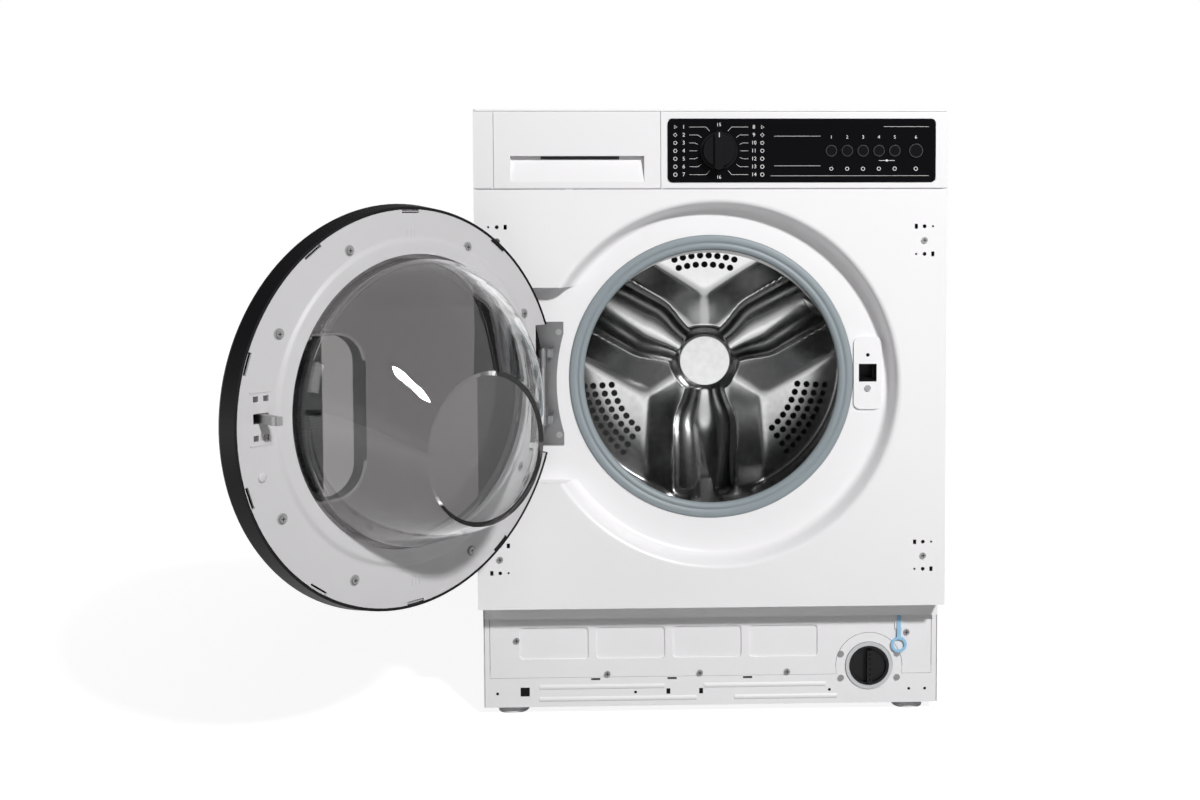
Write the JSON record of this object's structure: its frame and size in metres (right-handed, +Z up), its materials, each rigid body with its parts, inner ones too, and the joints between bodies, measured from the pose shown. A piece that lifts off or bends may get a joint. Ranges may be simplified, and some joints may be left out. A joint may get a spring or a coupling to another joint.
{
  "type": "integrated washer dryer",
  "caption": "Built-in front-loading washer dryer with a dished steel front, open round glass door, detergent drawer, control fascia and spring-hung drum.",
  "frame": {"origin": "on the floor, under the middle of the cabinet's width and depth", "axes": "+X to the right seen from the front, +Y to the back, +Z up"},
  "size_m": [0.8043, 0.9152, 0.787],
  "materials": {
    "white_sheet": "satin white enamel on steel",
    "galvanised": "zinc coated sheet",
    "white_plastic": "moulded, fine satin",
    "black_gloss": "black gloss panel",
    "black_plastic": "black moulded",
    "grey_plastic": "light grey moulded",
    "smoked_plastic": "smoked clear moulding",
    "door_glass": "pressed clear glass",
    "stainless": "polished stainless sheet",
    "grey_rubber": "soft moulded rubber",
    "black_rubber": "ribbed belt",
    "tub_plastic": "filled polypropylene",
    "cast_iron": "cast weight",
    "cast_alloy": "die cast",
    "bright_steel": "plated steel",
    "blue_plastic": "flexible strap"
  },
  "bodies": {
    "cabinet": {"front_panel": "white_sheet", "left_side_panel": "white_sheet", "right_side_panel": "white_sheet", "back_panel": "galvanised", "top_cover": "white_sheet", "base_tray": "galvanised", "plinth_panel": "white_sheet", "plinth_crossmember": "white_sheet", "control_fascia": "white_plastic", "control_window": "black_gloss", "drawer_housing": "white_plastic", "door_lock": "black_plastic", "hinge_bracket": "bright_steel", "hinge_pin": "bright_steel", "filter_housing": "grey_plastic", "inlet_valve": "grey_plastic", "drain_outlet": "black_plastic", "mains_gland": "black_plastic", "damper_cylinders": "grey_plastic", "suspension_springs": "bright_steel", "door_gasket": "grey_rubber", "cabinet_screws": "bright_steel"},
    "tub": {"tub_front": "tub_plastic", "tub_rear": "tub_plastic", "upper_counterweight": "cast_iron", "wash_heater": "bright_steel", "drive_motor": "cast_alloy", "drum_bearings": "bright_steel", "damper_rods": "tub_plastic", "drive_belt": "black_rubber", "drying_duct": "grey_plastic"},
    "drum": {"drum_shell": "stainless", "drum_back": "stainless", "drum_lifters": "grey_plastic", "drum_spider": "cast_alloy", "drum_pulley": "cast_alloy"},
    "motor_rotor": {"motor_pulley": "bright_steel"},
    "fan": {"fan_impeller": "grey_plastic"},
    "door": {"door_outer_cover": "smoked_plastic", "door_outer_ring": "black_plastic", "door_inner_frame": "grey_plastic", "door_glass": "door_glass", "door_screws": "bright_steel", "hinge_arms": "bright_steel"},
    "latch_hook": {"door_hook": "black_plastic"},
    "drawer": {"drawer_front": "white_plastic", "drawer_tray": "white_plastic"},
    "knob": {"program_knob": "black_plastic"},
    "pump_filter": {"filter_cap": "black_plastic"},
    "release": {"release_pull": "blue_plastic"},
    "key_1": {"button_1": "black_gloss"},
    "key_2": {"button_2": "black_gloss"},
    "key_3": {"button_3": "black_gloss"},
    "key_4": {"button_4": "black_gloss"},
    "key_5": {"button_5": "black_gloss"},
    "key_6": {"button_6": "black_gloss"},
    "levelling_foot_1": {"foot_1": "black_plastic"},
    "levelling_foot_2": {"foot_2": "black_plastic"},
    "levelling_foot_3": {"foot_3": "black_plastic"},
    "levelling_foot_4": {"foot_4": "black_plastic"}
  },
  "joints": [
    {"name": "door_hinge", "type": "hinge", "parent": "cabinet", "child": "door", "pos_m": [-0.213, -0.276, 0.44], "axis": [0, 0, 1], "range_deg": [0, 130]},
    {"name": "latch_pivot", "type": "hinge", "parent": "door", "child": "latch_hook", "pos_m": [-0.47337, -0.59796, 0.4515], "axis": [0, 0, 1], "range_deg": [0, 8], "stiffness_Nm_per_rad": 0.05},
    {"name": "tub_bounce", "type": "slide", "parent": "cabinet", "child": "tub", "axis": [0, 0, 1], "range_m": [-0.008, 0.008], "stiffness_N_per_m": 24000, "springref_m": 0.00992, "deforming": ["door_gasket", "suspension_springs"]},
    {"name": "drum_spin", "type": "hinge", "parent": "tub", "child": "drum", "pos_m": [0, -0.01, 0.428], "axis": [0, 1, 0], "continuous": true},
    {"name": "motor_spin", "type": "hinge", "parent": "tub", "child": "motor_rotor", "pos_m": [-0.095, 0.13, 0.112], "axis": [0, 1, 0], "continuous": true},
    {"name": "fan_spin", "type": "hinge", "parent": "tub", "child": "fan", "pos_m": [0.15, 0.07, 0.724], "axis": [0, 0, 1], "continuous": true},
    {"name": "drawer_slide", "type": "slide", "parent": "cabinet", "child": "drawer", "axis": [0, -1, 0], "range_m": [0, 0.18]},
    {"name": "program_turn", "type": "hinge", "parent": "cabinet", "child": "knob", "pos_m": [0.009, -0.27, 0.735], "axis": [0, -1, 0], "continuous": true},
    {"name": "filter_turn", "type": "hinge", "parent": "cabinet", "child": "pump_filter", "pos_m": [0.207, -0.223, 0.062], "axis": [0, -1, 0], "range_deg": [0, 90]},
    {"name": "release_slide", "type": "slide", "parent": "cabinet", "child": "release", "axis": [0, 0, -1], "range_m": [0, 0.015], "stiffness_N_per_m": 20, "springref_m": -0.002},
    {"name": "key_1_press", "type": "slide", "parent": "cabinet", "child": "key_1", "axis": [0, 1, 0], "range_m": [0, 0.0012], "stiffness_N_per_m": 300},
    {"name": "key_2_press", "type": "slide", "parent": "cabinet", "child": "key_2", "axis": [0, 1, 0], "range_m": [0, 0.0012], "stiffness_N_per_m": 300},
    {"name": "key_3_press", "type": "slide", "parent": "cabinet", "child": "key_3", "axis": [0, 1, 0], "range_m": [0, 0.0012], "stiffness_N_per_m": 300},
    {"name": "key_4_press", "type": "slide", "parent": "cabinet", "child": "key_4", "axis": [0, 1, 0], "range_m": [0, 0.0012], "stiffness_N_per_m": 300},
    {"name": "key_5_press", "type": "slide", "parent": "cabinet", "child": "key_5", "axis": [0, 1, 0], "range_m": [0, 0.0012], "stiffness_N_per_m": 300},
    {"name": "key_6_press", "type": "slide", "parent": "cabinet", "child": "key_6", "axis": [0, 1, 0], "range_m": [0, 0.0012], "stiffness_N_per_m": 300},
    {"name": "foot_1_level", "type": "slide", "parent": "cabinet", "child": "levelling_foot_1", "axis": [0, 0, -1], "range_m": [0, 0.02]},
    {"name": "foot_2_level", "type": "slide", "parent": "cabinet", "child": "levelling_foot_2", "axis": [0, 0, -1], "range_m": [0, 0.02]},
    {"name": "foot_3_level", "type": "slide", "parent": "cabinet", "child": "levelling_foot_3", "axis": [0, 0, -1], "range_m": [0, 0.02]},
    {"name": "foot_4_level", "type": "slide", "parent": "cabinet", "child": "levelling_foot_4", "axis": [0, 0, -1], "range_m": [0, 0.02]}
  ],
  "couplings": [
    {"joint": "motor_spin", "follows": "drum_spin", "ratio": 11.667}
  ]
}
